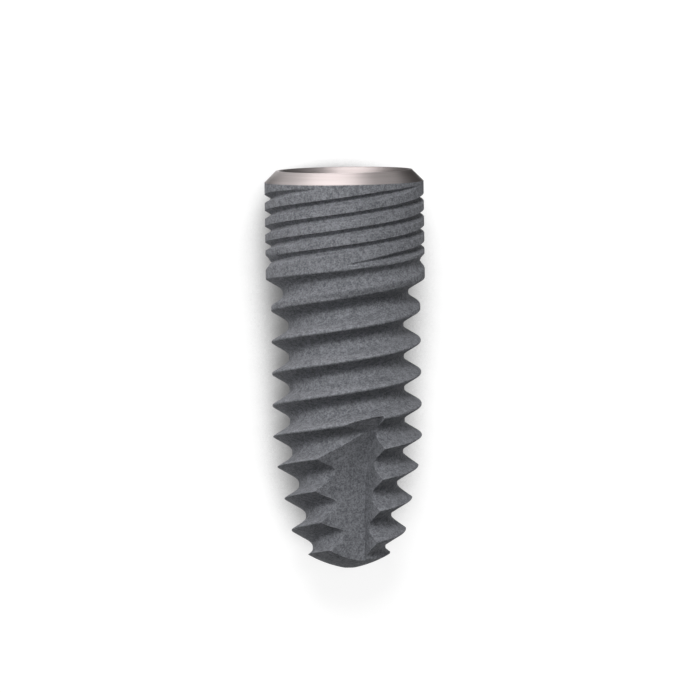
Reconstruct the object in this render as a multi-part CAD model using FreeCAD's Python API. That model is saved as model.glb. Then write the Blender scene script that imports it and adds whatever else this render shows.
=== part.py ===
# Screw-shaped dental implant, turned in one piece from titanium bar.
# Millimetres and degrees. Every depth is measured from the rim of the mouth, down the axis.
import FreeCAD
import Part
import math
import os
from FreeCAD import Placement, Rotation, Vector

# Blank: the turned outline, before any thread is cut
implant_length = 10.0
neck_diameter = 4.0
neck_length = 2.77
rim_diameter = 3.42
rim_bevel_angle = 45.0
thread_diameter = 3.75
shoulder_angle = 20.0
taper_start = 7.03
taper_angle = 12.2
dome_height = 0.56
dome_crown_height = 0.078
tip_diameter = 0.30

# Main thread: two grooves, each one turn per lead
thread_lead = 1.6
thread_starts = 2
thread_phase = 0.70
core_diameter = 2.89
root_flat = 0.25
flank_angle = 30.0
run_in_start = 2.05
run_in_angle = 22.0
core_taper_start = 6.84
core_taper_angle = 11.3

# Fine grooves of the neck, on the same lead: every second one runs on into a main groove
fine_starts = 4
fine_groove_depth = 0.155
fine_root_flat = 0.04
fine_grooves_top = 0.39
fine_grooves_end = 2.30
fine_run_out_angle = 40.0

# Cutting flutes: square notches, ground by a disc that runs out upwards
flute_count = 3
flute_disc_radius = 3.0
flute_floor_radius = 0.82
flute_arc_end = 8.29
flute_floor_taper = 1.0
flute_wall_angle = -60.0

# Socket: lead-in bevel, hexagon for the driver and the abutment, hole for the abutment's screw
mouth_diameter = 3.28
mouth_bevel_angle = 45.0
hex_across_flats = 2.42
hex_depth = 2.20
hex_angle = 0.0
screw_hole_diameter = 1.60
screw_hole_depth = 5.60
drill_point_angle = 118.0

# Rest: how far it has rolled from having one flute on top
rest_roll = -14.0

# How the helices are followed, and how far each cutter stands clear of the metal
stretch_angle = 180.0
stations_per_stretch = 6
stretch_joint = 98.2
cutter_margin = 0.10

neck_radius = neck_diameter / 2
rim_radius = rim_diameter / 2
thread_radius = thread_diameter / 2
core_radius = core_diameter / 2
tip_radius = tip_diameter / 2
mouth_radius = mouth_diameter / 2
screw_hole_radius = screw_hole_diameter / 2
hex_flat_radius = hex_across_flats / 2
hex_corner_radius = hex_flat_radius / math.cos(math.pi / 6)


def slope(angle):
    return math.tan(math.radians(angle))


def point_at(radius, depth, angle=0):
    direction = math.radians(angle)
    return Vector(radius * math.cos(direction), radius * math.sin(direction), -depth)


def lines(points):
    """Straight edges from each point to the next."""
    return [Part.LineSegment(a, b).toShape() for a, b in zip(points, points[1:])]


def closed_face(points):
    return Part.Face(Part.Wire(lines(points + points[:1])))


def turned(section):
    """A full turn of a half section that touches the axis."""
    return section.revolve(Vector(0, 0, 0), Vector(0, 0, 1), 360)


def blank():
    bevel_end = (neck_radius - rim_radius) / slope(rim_bevel_angle)
    shoulder_end = neck_length + (neck_radius - thread_radius) / slope(shoulder_angle)
    taper_end = implant_length - dome_height
    taper_end_radius = thread_radius - (taper_end - taper_start) * slope(taper_angle)
    corner = point_at(taper_end_radius, taper_end)
    tip_edge = point_at(tip_radius, implant_length)
    chord = tip_edge - corner
    outward = Vector(-chord.z, 0, chord.x).normalize()
    crown = corner + chord * 0.5 + outward * dome_crown_height
    side = lines(
        [
            point_at(0, implant_length),
            point_at(0, 0),
            point_at(rim_radius, 0),
            point_at(neck_radius, bevel_end),
            point_at(neck_radius, neck_length),
            point_at(thread_radius, shoulder_end),
            point_at(thread_radius, taper_start),
            corner,
        ]
    )
    dome = Part.Arc(corner, crown, tip_edge).toShape()
    tip = lines([tip_edge, point_at(0, implant_length)])
    return turned(Part.Face(Part.Wire(side + [dome] + tip)))


def helical_cutter(floor_radius, top, bottom, floor_width, reach, turn):
    """A trapezoid swept down a right-hand helix, its wide side outwards.

    floor_radius gives the radius of the groove's floor at each depth, and turn is
    the direction in which the groove's middle passes thread_phase. It is made in
    equal stretches, whose joints lie in line along the implant, and the first and
    last of them reach past top and bottom.
    """
    half_floor = floor_width / 2
    half_mouth = half_floor + reach * slope(flank_angle)
    corners = [(0, half_floor), (reach, half_mouth), (reach, -half_mouth), (0, -half_floor)]

    def stretches_above_joint(depth):
        angle = turn + 360 * (thread_phase - depth) / thread_lead
        return (angle - stretch_joint) / stretch_angle

    first = math.ceil(stretches_above_joint(top))
    stretches = first - math.floor(stretches_above_joint(bottom))
    steps = stretches * stations_per_stretch
    rails = []
    for outwards, upwards in corners:
        points = []
        for step in range(steps + 1):
            angle = stretch_joint + stretch_angle * (first - step / stations_per_stretch)
            depth = thread_phase - thread_lead * (angle - turn) / 360
            points.append(point_at(floor_radius(depth) + outwards, depth - upwards, angle))
        rail = Part.BSplineCurve()
        rail.interpolate(Points=points, Parameters=[float(step) for step in range(steps + 1)])
        rails.append(rail)
    faces = [closed_face([rail.value(end) for rail in rails]) for end in (0, steps)]
    for start in range(0, steps, stations_per_stretch):
        edges = [rail.toShape(start, start + stations_per_stretch) for rail in rails]
        for edge, neighbour in zip(edges, edges[1:] + edges[:1]):
            faces.append(Part.makeRuledSurface(edge, neighbour))
    shell = Part.Shell(faces)
    shell.sewShape()
    cutter = Part.Solid(shell)
    if cutter.Volume < 0:
        cutter.reverse()
    return cutter


def main_floor(depth):
    """Floor of a main groove: a cone where it runs in, a straight core, a tapered core."""
    if depth > core_taper_start:
        return core_radius - (depth - core_taper_start) * slope(core_taper_angle)
    run_in = neck_radius - (depth - run_in_start) * slope(run_in_angle)
    return max(core_radius, run_in)


def main_groove(start):
    top = run_in_start - cutter_margin / slope(run_in_angle)
    bottom = implant_length + root_flat
    reach = neck_radius - core_radius + cutter_margin
    turn = 360 * start / thread_starts
    return helical_cutter(main_floor, top, bottom, root_flat, reach, turn)


def fine_groove(start):
    """One fine groove, which fades out at its top and, between two main grooves, at its end.

    One in line with a main groove goes on until that groove is the deeper one.
    """
    run_out = slope(fine_run_out_angle)
    fade = fine_groove_depth / run_out
    in_line = start % (fine_starts // thread_starts) == 0
    overtaken = run_in_start + fine_groove_depth / slope(run_in_angle)
    end = overtaken + fade if in_line else fine_grooves_end

    def floor(depth):
        to_nearest_end = min(depth - fine_grooves_top, end - depth)
        return neck_radius - min(fine_groove_depth, to_nearest_end * run_out)

    clear = cutter_margin / run_out
    top = fine_grooves_top - clear
    bottom = end + clear
    reach = fine_groove_depth + cutter_margin
    turn = 360 * start / fine_starts
    return helical_cutter(floor, top, bottom, fine_root_flat, reach, turn)


def flute(index):
    """A square notch: one wall lies in a plane through the axis, the floor is square to it."""
    wall = flute_wall_angle + 360 * index / flute_count
    away_from_wall = point_at(1, 0, wall - 90)
    clear_radius = neck_radius + cutter_margin
    bottom = implant_length + cutter_margin
    taper = math.radians(flute_floor_taper)
    floor_end = flute_floor_radius - (bottom - flute_arc_end) * math.tan(taper)
    disc_radius = flute_floor_radius + flute_disc_radius * math.cos(taper)
    disc_depth = flute_arc_end + flute_disc_radius * math.sin(taper)

    def disc_edge(radius):
        half_chord = math.sqrt(flute_disc_radius ** 2 - (disc_radius - radius) ** 2)
        return point_at(radius, disc_depth - half_chord, wall)

    arc_end = point_at(flute_floor_radius, flute_arc_end, wall)
    arc_middle = disc_edge((flute_floor_radius + clear_radius) / 2)
    arc_top = disc_edge(clear_radius)
    arc = Part.Arc(arc_top, arc_middle, arc_end).toShape()
    floor = lines(
        [
            arc_end,
            point_at(floor_end, bottom, wall),
            point_at(clear_radius, bottom, wall),
            arc_top,
        ]
    )
    return Part.Face(Part.Wire(floor + [arc])).extrude(away_from_wall * clear_radius)


def socket():
    open_radius = mouth_radius + cutter_margin * slope(mouth_bevel_angle)
    lead_in = turned(
        closed_face(
            [
                point_at(0, -cutter_margin),
                point_at(open_radius, -cutter_margin),
                point_at(0, mouth_radius / slope(mouth_bevel_angle)),
            ]
        )
    )
    corners = [point_at(hex_corner_radius, 0, hex_angle + 60 * side) for side in range(6)]
    hexagon = closed_face(corners).extrude(Vector(0, 0, -hex_depth))
    point_slope = slope(drill_point_angle / 2)
    cone_end = hex_depth + (hex_flat_radius - screw_hole_radius) / point_slope
    drill_tip = screw_hole_depth + screw_hole_radius / point_slope
    hole = turned(
        closed_face(
            [
                point_at(0, hex_depth - cutter_margin),
                point_at(hex_flat_radius, hex_depth - cutter_margin),
                point_at(hex_flat_radius, hex_depth),
                point_at(screw_hole_radius, cone_end),
                point_at(screw_hole_radius, screw_hole_depth),
                point_at(0, drill_tip),
            ]
        )
    )
    return lead_in.fuse(hexagon).fuse(hole)


def implant():
    body = blank()
    for start in range(thread_starts):
        body = body.cut(main_groove(start))
    for start in range(fine_starts):
        body = body.cut(fine_groove(start))
    for index in range(flute_count):
        body = body.cut(flute(index))
    return body.cut(socket())


def lying_on_its_side(body):
    """Put it down on the neck's lower edge and the last full crest of the thread.

    The head points to +Y and one flute is nearly on top. The origin is on the ground,
    under the middle of the length.
    """
    sink = math.degrees(math.atan2(neck_radius - thread_radius, taper_start - neck_length))
    turn = Rotation(Vector(1, 0, 0), sink - 90)
    neck_edge = turn.multVec(point_at(neck_radius, neck_length, 90))
    head_end = turn.multVec(point_at(rim_radius, 0, 90))
    tip_end = turn.multVec(point_at(tip_radius, implant_length, -90))
    base = Vector(0, -(head_end.y + tip_end.y) / 2, -neck_edge.z)
    roll = Rotation(Vector(0, 0, 1), rest_roll)
    body.Placement = Placement(base, turn.multiply(roll))
    return body


part = lying_on_its_side(implant())
if not part.isValid() or len(part.Solids) != 1:
    raise RuntimeError("the implant did not come out as one sound solid")
os.makedirs("parts", exist_ok=True)
part.Solids[0].exportStep("parts/implant_body.step")
print("volume in cubic mm:", round(part.Volume, 2))
print("box in mm:", part.BoundBox)
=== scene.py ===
import math

import bmesh
import bpy
import numpy as np
from mathutils import Matrix, Vector


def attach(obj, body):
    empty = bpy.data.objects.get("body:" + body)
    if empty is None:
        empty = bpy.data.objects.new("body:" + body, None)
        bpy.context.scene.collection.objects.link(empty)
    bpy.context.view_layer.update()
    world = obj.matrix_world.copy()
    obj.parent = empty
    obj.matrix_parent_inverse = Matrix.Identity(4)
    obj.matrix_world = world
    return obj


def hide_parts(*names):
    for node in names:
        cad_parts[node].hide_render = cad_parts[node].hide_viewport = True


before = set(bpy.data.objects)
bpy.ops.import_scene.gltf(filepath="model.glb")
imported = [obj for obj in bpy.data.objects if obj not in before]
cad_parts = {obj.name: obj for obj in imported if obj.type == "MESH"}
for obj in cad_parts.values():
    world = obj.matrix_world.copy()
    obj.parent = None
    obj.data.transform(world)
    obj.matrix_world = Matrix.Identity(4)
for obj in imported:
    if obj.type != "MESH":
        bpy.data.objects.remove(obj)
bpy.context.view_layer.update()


# The implant's blank: commercially pure titanium bar, turned to a neck with a bevelled rim, a
# tapered body and a shallow domed tip. It is drawn in millimetres, standing with the rim's
# centre at the origin, and is laid down at the end.
implant_length = 10.0
neck_radius = 2.0
neck_length = 2.77
rim_radius = 1.71
rim_bevel_depth = 0.29
thread_radius = 1.875
shoulder_slope = math.tan(math.radians(20))
taper_start = 7.03
taper_slope = math.tan(math.radians(12.2))
dome_height = 0.56
dome_crown_height = 0.078
dome_steps = 16
tip_radius = 0.15
side_radius = 2.6
side_top = 0.5
side_end = 8.9
turned_segments = 128


def lathe(name, outline, segments, finishes):
    """A closed turned form from an outline of (radius, depth) that starts and ends on the axis.

    Its points start off the axes, so no edge falls in line with an edge of another form.
    """
    start = 0.3
    work = bmesh.new()
    rings = []
    for radius, depth in outline:
        if radius == 0:
            rings.append([work.verts.new((0, 0, -depth))])
            continue
        angles = [2 * math.pi * (step + start) / segments for step in range(segments)]
        rings.append(
            [work.verts.new((radius * math.cos(a), radius * math.sin(a), -depth)) for a in angles]
        )
    for ring, below, finish in zip(rings, rings[1:], finishes):
        for step in range(segments):
            after = (step + 1) % segments
            corners = [ring[step % len(ring)], below[step % len(below)]]
            corners += [below[after % len(below)], ring[after % len(ring)]]
            face = work.faces.new(list(dict.fromkeys(corners)))
            face.material_index = finish
    bmesh.ops.recalc_face_normals(work, faces=work.faces)
    mesh = bpy.data.meshes.new(name)
    work.to_mesh(mesh)
    work.free()
    return bpy.data.objects.new(name, mesh)


def envelope(depth):
    """Radius of the turned neck, shoulder, body and taper at each depth."""
    shoulder = neck_radius - (depth - neck_length) * shoulder_slope
    body = np.minimum(neck_radius, np.maximum(thread_radius, shoulder))
    return np.minimum(body, thread_radius - (depth - taper_start) * taper_slope)


blasted = 0
machined = 1
dome_start = implant_length - dome_height
dome_start_radius = float(envelope(np.array([dome_start]))[0])
dome_lean = math.atan2(dome_height, dome_start_radius - tip_radius)
dome = []
for step in range(dome_steps + 1):
    share = step / dome_steps
    bulge = dome_crown_height * 4 * share * (1 - share)
    radius = dome_start_radius + (tip_radius - dome_start_radius) * share
    depth = dome_start + dome_height * share
    dome.append((radius + bulge * math.sin(dome_lean), depth + bulge * math.cos(dome_lean)))
# Between the bevel and the dome it stands clear of the threaded form, which gives the side there.
outline = [(0, 0), (rim_radius, 0), (neck_radius, rim_bevel_depth)]
outline += [(side_radius, side_top), (side_radius, side_end)]
outline += dome + [(0, implant_length)]
finishes = [machined, machined] + [blasted] * (len(outline) - 3)
blank = lathe("turned_blank", outline, turned_segments, finishes)

# The threads: cut into the blank with the same lead all the way down. Four fine grooves grip the
# harder bone at the neck, and every second one runs on into one of the two main grooves, whose
# crests and roots are rounded.
thread_lead = 1.6
thread_phase = 0.70
flank_slope = 1 / math.tan(math.radians(30))
main_starts = 2
main_half_floor = 0.125
core_radius = 1.445
run_in_start = 2.05
run_in_slope = math.tan(math.radians(22))
core_taper_start = 6.84
core_taper_slope = math.tan(math.radians(11.3))
fine_starts = 4
fine_half_floor = 0.02
fine_depth = 0.155
fine_top = 0.39
fine_end = 2.30
fine_fade_slope = math.tan(math.radians(40))
fine_overrun_end = run_in_start + fine_depth / run_in_slope + fine_depth / fine_fade_slope
crest_rounding = 0.035
main_root_rounding = 0.16
fine_root_rounding = 0.05
overrun = 0.15
thread_columns = 96
rows_in_half_pitch = [0, 0.02, 0.05, 0.08, 0.1, 0.1095, 0.125, 0.165, 0.2, 0.235, 0.275, 0.2905]
rows_in_half_pitch += [0.3, 0.32, 0.336, 0.348, 0.36, 0.373, 0.388]


def smooth_lower(a, b, width):
    """The lower of two values, with the corner between them rounded."""
    near = np.maximum(width - np.abs(a - b), 0) / width
    return np.minimum(a, b) - near * near * width / 4


def smooth_higher(a, b, width):
    return -smooth_lower(-a, -b, width)


def groove(depth, angle, turn, floor_at, half_floor, rounding):
    """Radius of the nearest pass of a right-hand groove at each depth and angle."""
    middle = thread_phase - thread_lead * (angle - turn) / 360
    middle = middle + thread_lead * np.round((depth - middle) / thread_lead)
    floor = floor_at(middle)
    flank = floor + (np.abs(depth - middle) - half_floor) * flank_slope
    return smooth_higher(flank, floor, rounding)


def main_floor(depth):
    run_in = neck_radius - (depth - run_in_start) * run_in_slope
    tapered = core_radius - (depth - core_taper_start) * core_taper_slope
    return np.where(depth > core_taper_start, tapered, np.maximum(core_radius, run_in))


def fine_floor(end):
    def floor(depth):
        to_nearest_end = np.minimum(depth - fine_top, end - depth)
        return neck_radius - np.minimum(fine_depth, to_nearest_end * fine_fade_slope)

    return floor


def threaded_radius(depth, angle):
    radius = envelope(depth)
    for start in range(main_starts):
        turn = 360 * start / main_starts
        cut = groove(depth, angle, turn, main_floor, main_half_floor, main_root_rounding)
        radius = smooth_lower(radius, cut, crest_rounding)
    for start in range(fine_starts):
        in_line = start % (fine_starts // main_starts) == 0
        floor = fine_floor(fine_overrun_end if in_line else fine_end)
        turn = 360 * start / fine_starts
        cut = groove(depth, angle, turn, floor, fine_half_floor, fine_root_rounding)
        radius = np.minimum(radius, cut)
    return radius


def spiral_form(name, rows, lead, top, bottom, columns, radius_at, finish):
    """A closed form whose rows of points wind with the thread, so each edge is one clean line.

    Its columns start off the axes, so no edge falls in line with an edge of another form.
    """
    start = 0.4
    weld = 1e-5
    first = math.floor(top / lead) - 1
    last = math.ceil(bottom / lead) + 1
    row_depths = np.array([lead * turn + row for turn in range(first, last + 1) for row in rows])
    angles = 360 * (np.arange(columns) + start) / columns
    depth = np.clip(row_depths[:, None] - lead * angles[None, :] / 360, top, bottom)
    angle = np.broadcast_to(angles[None, :], depth.shape)
    radius = radius_at(depth, angle)
    turn = np.radians(angle)
    points = np.stack([radius * np.cos(turn), radius * np.sin(turn), -depth], axis=-1)
    count = len(row_depths)
    work = bmesh.new()
    corners = [work.verts.new(point) for point in points.reshape(-1, 3)]
    for row in range(count - 1):
        for column in range(columns):
            beside, step = (row, column + 1) if column < columns - 1 else (row - len(rows), 0)
            if beside < 0:
                continue
            square = [
                row * columns + column,
                (row + 1) * columns + column,
                (beside + 1) * columns + step,
                beside * columns + step,
            ]
            if len({depth.flat[index] for index in square}) == 1:
                continue
            work.faces.new([corners[index] for index in square])
    bmesh.ops.remove_doubles(work, verts=work.verts, dist=weld)
    loose = [corner for corner in work.verts if not corner.link_faces]
    bmesh.ops.delete(work, geom=loose, context="VERTS")
    bmesh.ops.holes_fill(work, edges=[edge for edge in work.edges if edge.is_boundary])
    bmesh.ops.recalc_face_normals(work, faces=work.faces)
    for face in work.faces:
        face.material_index = finish
    mesh = bpy.data.meshes.new(name)
    work.to_mesh(mesh)
    work.free()
    return bpy.data.objects.new(name, mesh)


pitch = thread_lead / main_starts
rows = rows_in_half_pitch + [pitch / 2] + [pitch - row for row in rows_in_half_pitch[:0:-1]]
thread_rows = [thread_phase + pitch * start + row for start in range(main_starts) for row in rows]
implant = spiral_form(
    "implant",
    thread_rows,
    thread_lead,
    -overrun,
    implant_length + overrun,
    thread_columns,
    threaded_radius,
    blasted,
)
implant.data.materials.append(bpy.data.materials.new("blasted_etched_titanium"))
implant.data.materials.append(bpy.data.materials.new("turned_titanium"))
bpy.context.scene.collection.objects.link(implant)


def combine(body, other, operation):
    """One closed form from two, worked out exactly. Every face keeps its finish."""
    if other.name not in bpy.context.scene.objects:
        bpy.context.scene.collection.objects.link(other)
    step = body.modifiers.new("combine", "BOOLEAN")
    step.operation = operation
    step.solver = "EXACT"
    step.material_mode = "INDEX"
    step.object = other
    graph = bpy.context.evaluated_depsgraph_get()
    mesh = bpy.data.meshes.new_from_object(body.evaluated_get(graph))
    body.modifiers.clear()
    body.data = mesh
    bpy.data.objects.remove(other)


combine(implant, blank, "INTERSECT")

# The cutting flutes: three square notches at the tip that cut the bone and take up its chips.
# A small disc cutter leaves each one a wall through the axis and a floor that runs out upwards.
flute_count = 3
flute_disc_radius = 3.0
flute_floor_radius = 0.82
flute_arc_end = 8.29
flute_floor_taper = math.radians(1)
flute_wall_angle = -60.0
flute_arc_steps = 20
cutter_margin = 0.1
clear_radius = neck_radius + cutter_margin
clear_depth = implant_length + cutter_margin
disc_radius_place = flute_floor_radius + flute_disc_radius * math.cos(flute_floor_taper)
disc_depth_place = flute_arc_end + flute_disc_radius * math.sin(flute_floor_taper)
arc_top = math.acos((disc_radius_place - clear_radius) / flute_disc_radius)
flute_outline = [(clear_radius, clear_depth)]
for step in range(flute_arc_steps + 1):
    turn = arc_top + (flute_floor_taper - arc_top) * step / flute_arc_steps
    flute_outline.append(
        (
            disc_radius_place - flute_disc_radius * math.cos(turn),
            disc_depth_place - flute_disc_radius * math.sin(turn),
        )
    )
floor_fall = (clear_depth - flute_arc_end) * math.tan(flute_floor_taper)
flute_outline.append((flute_floor_radius - floor_fall, clear_depth))


def prism(work, base, push):
    """Adds a closed prism on a flat outline to the mesh in work."""
    near = [work.verts.new(point) for point in base]
    far = [work.verts.new(point + push) for point in base]
    work.faces.new(near)
    work.faces.new(far[::-1])
    for step in range(len(base)):
        after = (step + 1) % len(base)
        work.faces.new([near[step], far[step], far[after], near[after]])


def as_object(work, name, finish):
    bmesh.ops.recalc_face_normals(work, faces=work.faces)
    for face in work.faces:
        face.material_index = finish
    mesh = bpy.data.meshes.new(name)
    work.to_mesh(mesh)
    work.free()
    return bpy.data.objects.new(name, mesh)


def direction(angle):
    return Vector((math.cos(math.radians(angle)), math.sin(math.radians(angle)), 0))


work = bmesh.new()
for index in range(flute_count):
    wall = flute_wall_angle + 360 * index / flute_count
    base = [direction(wall) * radius - Vector((0, 0, depth)) for radius, depth in flute_outline]
    prism(work, base, direction(wall - 90) * clear_radius)
combine(implant, as_object(work, "flutes", blasted), "DIFFERENCE")

# The socket: a lead-in bevel and a broached hexagon for the driver and the abutment, then a
# drilled and tapped hole for the abutment's screw. It stays as machined, not blasted.
mouth_radius = 1.64
hex_flat_radius = 1.21
hex_corner_radius = hex_flat_radius / math.cos(math.pi / 6)
hex_depth = 2.20
screw_hole_radius = 0.8
screw_hole_depth = 5.6
drill_slope = math.tan(math.radians(59))
tap_pitch = 0.35
tap_radius = 0.9
tap_half_flat = tap_pitch / 16
tap_top = 2.3
tap_end = 5.2
tap_overlap = 0.02
tap_rows = 16
tap_columns = 48
hole_top = 2.0
hole_segments = 48
cone_end = hex_depth + (hex_flat_radius - screw_hole_radius) / drill_slope
drill_tip = screw_hole_depth + screw_hole_radius / drill_slope

socket = lathe(
    "socket",
    [(0, -cutter_margin), (mouth_radius + cutter_margin, -cutter_margin), (0, mouth_radius)],
    turned_segments,
    [machined] * 2,
)
socket.data.materials.append(implant.data.materials[0])
socket.data.materials.append(implant.data.materials[1])
bpy.context.scene.collection.objects.link(socket)
work = bmesh.new()
hexagon = [direction(60 * side) * hex_corner_radius for side in range(6)]
prism(work, hexagon, Vector((0, 0, -hex_depth)))
combine(socket, as_object(work, "hexagon", machined), "UNION")
hole_outline = [
    (0, hole_top),
    (hex_flat_radius, hole_top),
    (hex_flat_radius, hex_depth),
    (screw_hole_radius, cone_end),
    (screw_hole_radius, screw_hole_depth),
    (0, drill_tip),
]
combine(socket, lathe("drilled_hole", hole_outline, hole_segments, [machined] * 5), "UNION")


def tapped_radius(depth, angle):
    """The tap's own shape, which it leaves in the wall: ridges with a narrow flat top."""
    advance = tap_pitch * angle / 360
    middle = tap_pitch * np.round((depth + advance) / tap_pitch) - advance
    ridge = tap_radius - (np.abs(depth - middle) - tap_half_flat) * flank_slope
    return np.clip(ridge, screw_hole_radius - tap_overlap, tap_radius)


tap = spiral_form(
    "tapped_hole",
    [tap_pitch * row / tap_rows for row in range(tap_rows)],
    tap_pitch,
    tap_top,
    tap_end,
    tap_columns,
    tapped_radius,
    machined,
)
combine(socket, tap, "UNION")
combine(implant, socket, "DIFFERENCE")

# At rest: it lies on the neck's lower edge and the last full crest, rolled a little to the left.
rest_roll = math.radians(-14)
sink = math.atan2(neck_radius - thread_radius, taper_start - neck_length)
lay_down = Matrix.Rotation(sink - math.pi / 2, 4, "X")
neck_edge = lay_down @ Vector((0, neck_radius, -neck_length))
head_end = lay_down @ Vector((0, rim_radius, 0))
tip_end = lay_down @ Vector((0, -tip_radius, -implant_length))
base = Vector((0, -(head_end.y + tip_end.y) / 2, -neck_edge.z))
millimetre = 0.001
place = Matrix.Scale(millimetre, 4) @ Matrix.Translation(base) @ lay_down
place = place @ Matrix.Rotation(rest_roll, 4, "Z")
sharp_edge = math.radians(35)
implant.data.transform(place)
implant.data.shade_smooth()
implant.data.set_sharp_from_angle(angle=sharp_edge)
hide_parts("implant_body")
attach(implant, "root")

# The outside is grit-blasted and acid-etched so that bone grows on it. Pits of all sizes scatter
# the light, which leaves a dark grey, matt, faintly sparkling skin with no clear reflection.
# The real pits are a few thousandths of a millimetre wide. They are drawn coarser, so that they
# show, and so are the clusters and patches that the blasting leaves.
def linear(colour):
    """A hex sRGB colour as the linear values that shaders and lamps take."""
    parts = [int(colour[start : start + 2], 16) / 255 for start in (1, 3, 5)]
    return tuple(p / 12.92 if p <= 0.04045 else ((p + 0.055) / 1.055) ** 2.4 for p in parts)


def add_node(tree, kind, settings=None, links=None):
    """One node with its settings, each input fed by a value or by another node's output."""
    node = tree.nodes.new(kind)
    for name, value in (settings or {}).items():
        setattr(node, name, value)
    for name, value in (links or {}).items():
        if isinstance(value, bpy.types.NodeSocket):
            tree.links.new(value, node.inputs[name])
        else:
            node.inputs[name].default_value = value
    return node


pits_dark = "#5e6065"
pits_light = "#8e9095"
grit_size = 0.04
grit_values = (0.32, 0.68)
cluster_size = 0.11
cluster_contrast = 1.3
patch_size = 0.5
patch_contrast = 0.5
pit_height = 0.006

blasted_titanium = implant.data.materials[0]
blasted_titanium.use_nodes = True
tree = blasted_titanium.node_tree
shader = tree.nodes["Principled BSDF"]
place_on_part = add_node(tree, "ShaderNodeTexCoord")
in_millimetres = add_node(
    tree,
    "ShaderNodeMapping",
    {},
    {"Vector": place_on_part.outputs["Object"], "Scale": [1 / millimetre] * 3},
)
grit = add_node(
    tree,
    "ShaderNodeTexNoise",
    {},
    {
        "Vector": in_millimetres.outputs["Vector"],
        "Scale": 1 / grit_size,
        "Detail": 2.5,
        "Roughness": 0.6,
    },
)
clusters = add_node(
    tree,
    "ShaderNodeTexNoise",
    {},
    {"Vector": in_millimetres.outputs["Vector"], "Scale": 1 / cluster_size, "Detail": 1},
)
patches = add_node(
    tree,
    "ShaderNodeTexNoise",
    {},
    {"Vector": in_millimetres.outputs["Vector"], "Scale": 1 / patch_size, "Detail": 2},
)
speckle = add_node(
    tree,
    "ShaderNodeMapRange",
    {},
    {"Value": grit.outputs["Fac"], "From Min": grit_values[0], "From Max": grit_values[1]},
)
clustered = add_node(
    tree,
    "ShaderNodeMath",
    {"operation": "MULTIPLY_ADD"},
    {0: clusters.outputs["Fac"], 1: cluster_contrast, 2: -cluster_contrast / 2},
)
patchy = add_node(
    tree,
    "ShaderNodeMath",
    {"operation": "MULTIPLY_ADD"},
    {0: patches.outputs["Fac"], 1: patch_contrast, 2: -patch_contrast / 2},
)
uneven = add_node(
    tree,
    "ShaderNodeMath",
    {"operation": "ADD"},
    {0: clustered.outputs["Value"], 1: patchy.outputs["Value"]},
)
tone = add_node(
    tree,
    "ShaderNodeMath",
    {"operation": "ADD", "use_clamp": True},
    {0: speckle.outputs["Result"], 1: uneven.outputs["Value"]},
)
colour = add_node(
    tree,
    "ShaderNodeMix",
    {"data_type": "RGBA"},
    {"Factor": tone.outputs["Value"], "A": (*linear(pits_dark), 1), "B": (*linear(pits_light), 1)},
)
tree.links.new(colour.outputs["Result"], shader.inputs["Base Color"])
bump = add_node(
    tree,
    "ShaderNodeBump",
    {},
    {"Height": grit.outputs["Fac"], "Distance": pit_height * millimetre, "Strength": 0.8},
)
tree.links.new(bump.outputs["Normal"], shader.inputs["Normal"])
shader.inputs["Metallic"].default_value = 0.25
shader.inputs["Roughness"].default_value = 0.85

# The rim and the socket stay as the lathe left them, because the abutment seals there: bright
# satin titanium with fine rings round the axis and a faint warm tint. The rings of the real feed,
# about 0.01 mm, are drawn three times as wide, so that they show.
turned_bright = "#a19b9a"
turned_dark = "#898382"
ring_width = 0.03
ring_unevenness = 0.3
ring_height = 0.0006
machined_titanium = implant.data.materials[1]
machined_titanium.use_nodes = True
tree = machined_titanium.node_tree
shader = tree.nodes["Principled BSDF"]
place_on_part = add_node(tree, "ShaderNodeTexCoord")
stand_up = (lay_down @ Matrix.Rotation(rest_roll, 4, "Z")).inverted()
along_axis = add_node(
    tree,
    "ShaderNodeMapping",
    {},
    {
        "Vector": place_on_part.outputs["Object"],
        "Location": -(stand_up @ base),
        "Rotation": stand_up.to_euler("XYZ"),
        "Scale": [1 / millimetre] * 3,
    },
)
mostly_depth = add_node(
    tree,
    "ShaderNodeVectorMath",
    {"operation": "MULTIPLY"},
    {0: along_axis.outputs["Vector"], 1: (ring_unevenness, ring_unevenness, 1 / ring_width)},
)
rings = add_node(
    tree,
    "ShaderNodeTexNoise",
    {},
    {"Vector": mostly_depth.outputs["Vector"], "Scale": 1, "Detail": 2},
)
colour = add_node(
    tree,
    "ShaderNodeMix",
    {"data_type": "RGBA"},
    {
        "Factor": rings.outputs["Fac"],
        "A": (*linear(turned_dark), 1),
        "B": (*linear(turned_bright), 1),
    },
)
tree.links.new(colour.outputs["Result"], shader.inputs["Base Color"])
bump = add_node(
    tree,
    "ShaderNodeBump",
    {},
    {"Height": rings.outputs["Fac"], "Distance": ring_height * millimetre, "Strength": 1},
)
tree.links.new(bump.outputs["Normal"], shader.inputs["Normal"])
shader.inputs["Metallic"].default_value = 1
shader.inputs["Roughness"].default_value = 0.42

# The table: matt white laminate. Seen directly and in reflections, a little over half of it is a
# painted white glow with a painted shadow. The shadow is darker where the implant lies close above
# it, and leaned to the right as if the light came a little more from the left. The rest is the
# laminate lit by the lamps, with their own shadows. The glow sheds no light on the implant.
table_half = 0.4
table_colour = "#b0b0b0"
painted_shadow_lean = (-0.2, 0, 0.95)
painted_glow_share = 0.55
shadow_reach = 3.0
shadow_samples = 16
sky_in_shadow = 0.38
sky_in_open = 0.73
glow_in_painted_shadow = 0.25
glow_in_open = 1.62
work = bmesh.new()
table_corners = [(-1, -1), (1, -1), (1, 1), (-1, 1)]
work.faces.new([work.verts.new((x * table_half, y * table_half, 0)) for x, y in table_corners])
mesh = bpy.data.meshes.new("table")
work.to_mesh(mesh)
work.free()
table = bpy.data.objects.new("table", mesh)
bpy.context.scene.collection.objects.link(table)
white_laminate = bpy.data.materials.new("matt_white_laminate")
white_laminate.use_nodes = True
tree = white_laminate.node_tree
shader = tree.nodes["Principled BSDF"]
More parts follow.
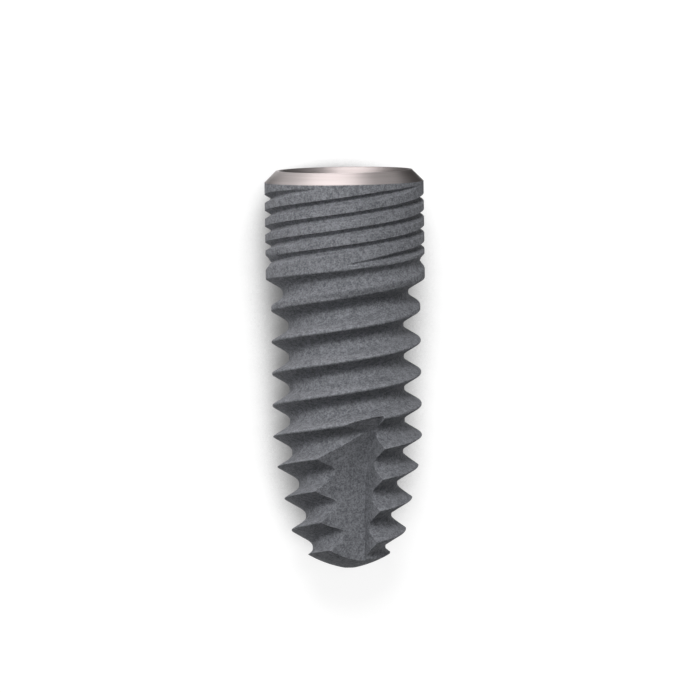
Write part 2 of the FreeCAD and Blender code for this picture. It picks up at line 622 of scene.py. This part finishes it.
shader.inputs["Base Color"].default_value = (*linear(table_colour), 1)
shader.inputs["Roughness"].default_value = 0.8
# Painted shadow: an occlusion measure around a normal leaned to the left dims the table's glow
# where the implant lies close above it, more on the implant's right.
shadow_lean_normal = add_node(
    tree,
    "ShaderNodeCombineXYZ",
    {},
    {"X": painted_shadow_lean[0], "Y": painted_shadow_lean[1], "Z": painted_shadow_lean[2]},
)
painted_shadow_occlusion = add_node(
    tree,
    "ShaderNodeAmbientOcclusion",
    {"samples": shadow_samples},
    {"Distance": shadow_reach * millimetre, "Normal": shadow_lean_normal.outputs["Vector"]},
)
painted_shadow_glow = add_node(
    tree,
    "ShaderNodeMapRange",
    {"interpolation_type": "SMOOTHSTEP"},
    {
        "Value": painted_shadow_occlusion.outputs["AO"],
        "From Min": sky_in_shadow,
        "From Max": sky_in_open,
        "To Min": glow_in_painted_shadow,
        "To Max": glow_in_open,
    },
)
glow = add_node(tree, "ShaderNodeEmission", {}, {"Strength": painted_shadow_glow.outputs["Result"]})
both = add_node(
    tree,
    "ShaderNodeMixShader",
    {},
    {0: painted_glow_share, 1: shader.outputs["BSDF"], 2: glow.outputs["Emission"]},
)
rays = add_node(tree, "ShaderNodeLightPath")
glossy = add_node(
    tree,
    "ShaderNodeMath",
    {"operation": "MAXIMUM"},
    {0: rays.outputs["Is Glossy Ray"], 1: rays.outputs["Is Transmission Ray"]},
)
seen = add_node(
    tree,
    "ShaderNodeMath",
    {"operation": "MAXIMUM"},
    {0: rays.outputs["Is Camera Ray"], 1: glossy.outputs["Value"]},
)
finish = add_node(
    tree,
    "ShaderNodeMixShader",
    {},
    {0: seen.outputs["Value"], 1: shader.outputs["BSDF"], 2: both.outputs["Shader"]},
)
tree.links.new(finish.outputs["Shader"], tree.nodes["Material Output"].inputs["Surface"])
table.data.materials.append(white_laminate)


# The studio: one soft lamp above the seen side, a little towards the head, and a weak one on the
# left. Two panels beyond the head are there only for reflections in the bright bevel, and shed no
# light on the blasted skin.
implant_middle = (0, 0, 2)
neck_middle = (0, 4, 2)
softbox_distance = 150
seen_middle_depth = 4.5


def lamp(name, place_mm, aim_mm, size_mm, power, colour):
    data = bpy.data.lights.new(name, "AREA")
    data.shape = "RECTANGLE"
    data.size = size_mm[0] * millimetre
    data.size_y = size_mm[1] * millimetre
    data.energy = power
    data.color = linear(colour)
    item = bpy.data.objects.new(name, data)
    bpy.context.scene.collection.objects.link(item)
    item.location = Vector(place_mm) * millimetre
    facing = Vector(aim_mm) - Vector(place_mm)
    item.rotation_euler = facing.to_track_quat("-Z", "Y").to_euler()
    return item


def from_implant(side, elevation, distance):
    """A place seen from the implant, in degrees right of its seen side and towards its head."""
    side = math.radians(side)
    elevation = math.radians(elevation)
    level = Vector((math.sin(side), -math.cos(side), 0)) * math.cos(elevation)
    spot = Vector((0, 0, -seen_middle_depth))
    spot += (level + Vector((0, 0, math.sin(elevation)))) * distance
    return (place @ spot) / millimetre


lamp(
    "softbox_above",
    place_mm=from_implant(side=1, elevation=30, distance=softbox_distance),
    aim_mm=implant_middle,
    size_mm=(44, 44),
    power=0.167,
    colour="#ffffff",
)
lamp(
    "softbox_left",
    place_mm=from_implant(side=-72, elevation=20, distance=softbox_distance),
    aim_mm=implant_middle,
    size_mm=(60, 60),
    power=0.032,
    colour="#ffffff",
)
panel_beyond = lamp(
    "panel_beyond_head",
    place_mm=(-36, 112, 22),
    aim_mm=neck_middle,
    size_mm=(136, 42),
    power=0.095,
    colour="#fffafa",
)
panel_left = lamp(
    "panel_left_of_head",
    place_mm=(-66, 88, 14),
    aim_mm=neck_middle,
    size_mm=(50, 28),
    power=0.035,
    colour="#fffafa",
)
panel_beyond.visible_diffuse = False
panel_left.visible_diffuse = False

# Black cards lie on the table in front of the rim, and one stands up on the right, as
# photographers use them to give bright metal a dark side. They are there only for reflections:
# they cast no shadow and don't show in the picture.
card_colour = "#101010"
card_clearance = 0.05
card_height = 8
right_card = [(5.0, 8.8), (6.4, 5.3), (-0.8, 5.2), (0.6, 8.8)]
left_card = [(-1.9, 5.15), (-2.9, 7.0), (-3.9, 6.0), (-3.2, 5.15)]
work = bmesh.new()
for lying_card in (left_card, right_card):
    corners = [Vector((x, y, card_clearance)) * millimetre for x, y in lying_card]
    lying = [work.verts.new(corner) for corner in corners]
    work.faces.new(lying)
upwards = Vector((0, 0, card_height * millimetre))
top = [work.verts.new(corner.co + upwards) for corner in lying[:2]]
work.faces.new([lying[1], lying[0], top[0], top[1]])
mesh = bpy.data.meshes.new("black_card")
work.to_mesh(mesh)
work.free()
cards = bpy.data.objects.new("black_card", mesh)
bpy.context.scene.collection.objects.link(cards)
matt_black = bpy.data.materials.new("matt_black_card")
matt_black.use_nodes = True
shader = matt_black.node_tree.nodes["Principled BSDF"]
shader.inputs["Base Color"].default_value = (*linear(card_colour), 1)
shader.inputs["Roughness"].default_value = 0.9
cards.data.materials.append(matt_black)
cards.visible_camera = False
cards.visible_diffuse = False
cards.visible_shadow = False

# The room: dim and plain, a little lighter beyond the head than beyond the tip.
tip_side_light = 0.06
head_side_light = 0.4
world = bpy.context.scene.world or bpy.data.worlds.new("room")
bpy.context.scene.world = world
world.use_nodes = True
tree = world.node_tree
outward = add_node(tree, "ShaderNodeTexCoord")
towards_head = add_node(
    tree,
    "ShaderNodeSeparateXYZ",
    {},
    {"Vector": outward.outputs["Generated"]},
)
room_light = add_node(
    tree,
    "ShaderNodeMapRange",
    {},
    {
        "Value": towards_head.outputs["Y"],
        "From Min": -1,
        "From Max": 1,
        "To Min": tip_side_light,
        "To Max": head_side_light,
    },
)
tree.nodes["Background"].inputs["Color"].default_value = (1, 1, 1, 1)
tree.links.new(room_light.outputs["Result"], tree.nodes["Background"].inputs["Strength"])

# The camera: it looks down on the lying implant, square to its seen side, a little from the head.
# It stands far off, because the photograph shows hardly any perspective.
camera_distance = 600.0
sensor_width = 36.0
camera_elevation = math.radians(3.15)
camera_roll = math.radians(0.8)
view_width = 17.41
aim_depth = 4.44
aim_side = 0.005
away = Vector((0, -math.cos(camera_elevation), math.sin(camera_elevation)))
up = Vector((0, math.sin(camera_elevation), math.cos(camera_elevation)))
right = Vector((1, 0, 0))
rolled_right = right * math.cos(camera_roll) - up * math.sin(camera_roll)
rolled_up = up * math.cos(camera_roll) + right * math.sin(camera_roll)
aim = Vector((aim_side, 0, -aim_depth))
turned = place.to_3x3().normalized()
camera_data = bpy.data.cameras.new("camera")
camera_data.sensor_width = sensor_width
camera_data.lens = sensor_width * camera_distance / view_width
camera_data.clip_start = 0.001
camera_data.clip_end = 10
camera = bpy.data.objects.new("camera", camera_data)
axes = [turned @ axis for axis in (rolled_right, rolled_up, away)]
facing = Matrix([[axis[row] for axis in axes] for row in range(3)]).to_4x4()
camera.matrix_world = Matrix.Translation(place @ (aim + away * camera_distance)) @ facing
bpy.context.scene.collection.objects.link(camera)
bpy.context.scene.camera = camera
bpy.context.scene.view_settings.view_transform = "Standard"
